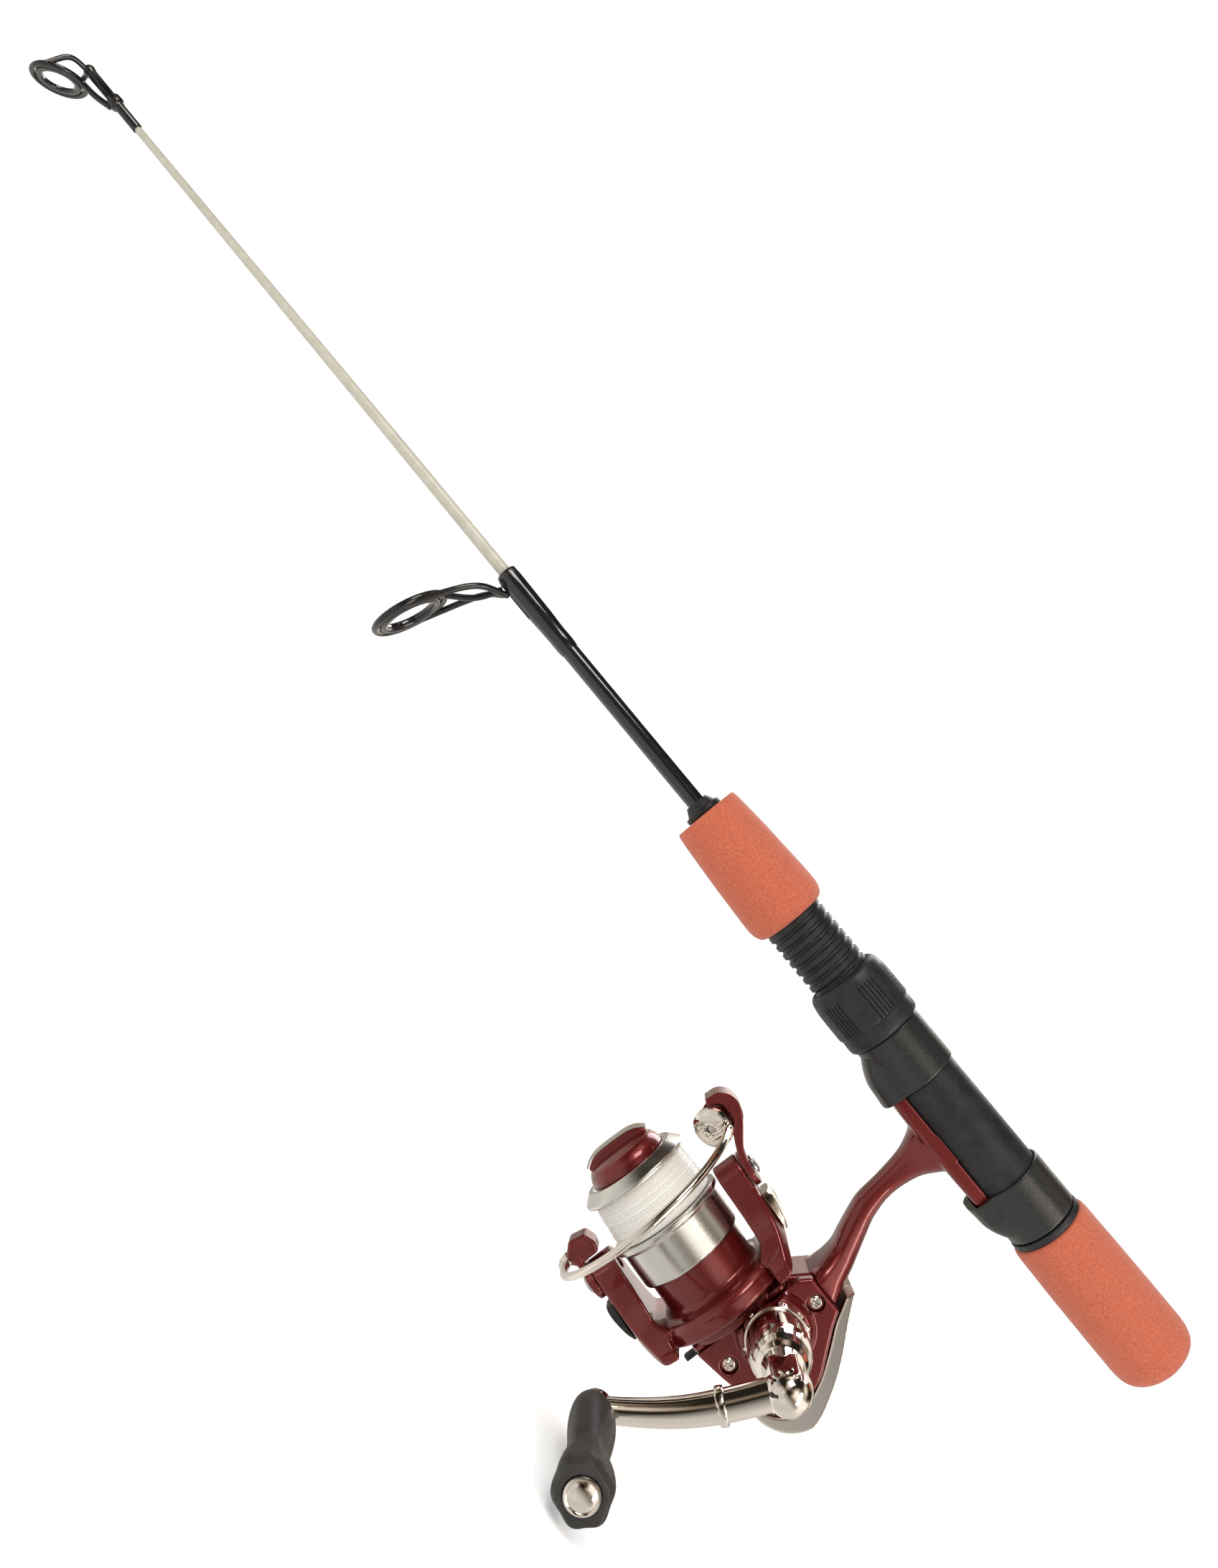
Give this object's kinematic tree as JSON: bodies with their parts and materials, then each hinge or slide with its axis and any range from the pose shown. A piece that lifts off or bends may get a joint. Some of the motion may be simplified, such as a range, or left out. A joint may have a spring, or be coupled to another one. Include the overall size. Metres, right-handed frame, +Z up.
{
  "type": "spinning rod and reel",
  "caption": "Short spinning rod with foam grips and ring guides, carrying an open-face spinning reel with a folding crank, a wire bail and a front drag.",
  "frame": {"origin": "centre of the flat end face of the butt grip, on the rod axis", "axes": "+X along the rod from the tip towards the butt, +Z up away from the reel, the crank on the -Y side"},
  "size_m": [0.4693, 0.1039, 0.1248],
  "materials": {
    "white_glass": "cream tapered rod blank",
    "black_gloss": "glossy black coating",
    "black_satin": "satin black moulded plastic",
    "black_metal": "black plated wire",
    "orange_foam": "fine orange closed-cell foam",
    "red_metallic": "dark red metallic lacquer",
    "chrome": "bright chrome plating",
    "silver": "fine turned silver",
    "steel": "plain steel",
    "brass": "plain brass",
    "zinc": "die-cast zinc",
    "knob_plastic": "dark grey soft-touch plastic",
    "nylon": "wound off-white nylon line",
    "felt": "greased drag felt",
    "arbor": "foam arbor"
  },
  "bodies": {
    "root": {"blank_tip": "white_glass", "blank_butt": "black_gloss", "guide_wrap": "black_gloss", "tip_top_frame": "black_metal", "tip_top_ring": "black_gloss", "stripper_guide_frame": "black_metal", "stripper_guide_ring": "black_gloss", "fore_grip": "orange_foam", "rear_grip": "orange_foam", "hood_trim_ring": "black_satin", "winding_check": "black_satin", "seat_tube": "black_satin", "seat_arbor": "arbor", "fixed_hood": "black_satin", "reel_housing": "red_metallic", "side_cover": "red_metallic", "rear_trim": "chrome", "cover_screw_top": "chrome", "cover_screw_front": "chrome", "shaft_bush_near": "brass", "shaft_bush_far": "brass", "pinion_bearing": "steel"},
    "hood": {"movable_hood": "black_satin"},
    "nut": {"hood_nut": "black_satin"},
    "crank": {"crank_shaft": "steel", "far_side_cap": "chrome", "drive_gear": "zinc", "stud_ring": "chrome", "crank_collar": "chrome", "fold_pin": "chrome"},
    "arm": {"crank_arm": "chrome", "arm_sleeve": "chrome"},
    "knob": {"knob": "knob_plastic", "knob_cap": "chrome"},
    "oscillation": {"oscillation_gear": "zinc"},
    "rotor": {"rotor": "red_metallic", "pinion": "brass", "rotor_nut": "brass", "anti_reverse_ratchet": "steel", "arm_cover_upper": "chrome", "arm_cover_lower": "black_satin", "pivot_screw_upper": "steel", "pivot_screw_lower": "steel"},
    "bail": {"bail_arm": "red_metallic", "bail_hub": "red_metallic", "bail_wire": "chrome", "roller_screw": "steel"},
    "roller": {"line_roller": "chrome"},
    "shaft": {"main_shaft": "steel", "oscillation_slider": "zinc"},
    "spool": {"spool": "silver", "wound_line": "nylon", "drag_washer_felt": "felt", "drag_washer_metal": "steel", "drag_clip": "steel"},
    "drag_knob": {"drag_knob": "red_metallic", "knob_strip": "chrome", "drag_spring": "steel"},
    "lever": {"anti_reverse_lever": "black_satin", "anti_reverse_pawl": "steel"}
  },
  "joints": [
    {"name": "hood_slide", "type": "slide", "parent": "root", "child": "hood", "axis": [-1, 0, 0], "range_m": [0, 0.016]},
    {"name": "nut_turn", "type": "hinge", "parent": "hood", "child": "nut", "pos_m": [-0.117, 0, 0], "axis": [-1, 0, 0], "range_deg": [-10, 2110]},
    {"name": "crank_turn", "type": "hinge", "parent": "root", "child": "crank", "pos_m": [-0.0703, 0, -0.0705], "axis": [0, -1, 0], "continuous": true},
    {"name": "arm_fold", "type": "hinge", "parent": "crank", "child": "arm", "pos_m": [-0.0703, -0.046, -0.0705], "axis": [0.8378, 0, -0.5459], "range_deg": [0, 35]},
    {"name": "knob_spin", "type": "hinge", "parent": "arm", "child": "knob", "pos_m": [-0.09416, -0.046, -0.10711], "axis": [0, -1, 0], "continuous": true},
    {"name": "oscillation_turn", "type": "hinge", "parent": "root", "child": "oscillation", "pos_m": [-0.06326, -0.0045, -0.07808], "axis": [0, -1, 0], "continuous": true},
    {"name": "rotor_turn", "type": "hinge", "parent": "root", "child": "rotor", "pos_m": [-0.08266, 0, -0.07706], "axis": [-0.9986, 0, 0.0529], "continuous": true},
    {"name": "bail_open", "type": "hinge", "parent": "rotor", "child": "bail", "pos_m": [-0.10463, 0, -0.07589], "axis": [-0.0529, 0, -0.9986], "range_deg": [0, 78]},
    {"name": "roller_spin", "type": "hinge", "parent": "bail", "child": "roller", "pos_m": [-0.11784, -0.0016, -0.04926], "axis": [0.0264, 0.866, 0.4993], "continuous": true},
    {"name": "spool_slide", "type": "slide", "parent": "root", "child": "shaft", "axis": [-0.9986, 0, 0.0529], "range_m": [0, 0.009]},
    {"name": "spool_drag", "type": "hinge", "parent": "shaft", "child": "spool", "pos_m": [-0.11462, 0, -0.07536], "axis": [-0.9986, 0, 0.0529], "continuous": true},
    {"name": "drag_knob_turn", "type": "hinge", "parent": "shaft", "child": "drag_knob", "pos_m": [-0.1246, 0, -0.07484], "axis": [-0.9986, 0, 0.0529], "continuous": true},
    {"name": "lever_turn", "type": "hinge", "parent": "root", "child": "lever", "pos_m": [-0.07721, 0, -0.08756], "axis": [-0.9986, 0, 0.0529], "range_deg": [0, 18]}
  ],
  "couplings": [
    {"joint": "nut_turn", "follows": "hood_slide", "rad_per_m": 2284.8},
    {"joint": "rotor_turn", "follows": "crank_turn", "ratio": 5.1429},
    {"joint": "oscillation_turn", "follows": "crank_turn", "ratio": -0.66667}
  ]
}
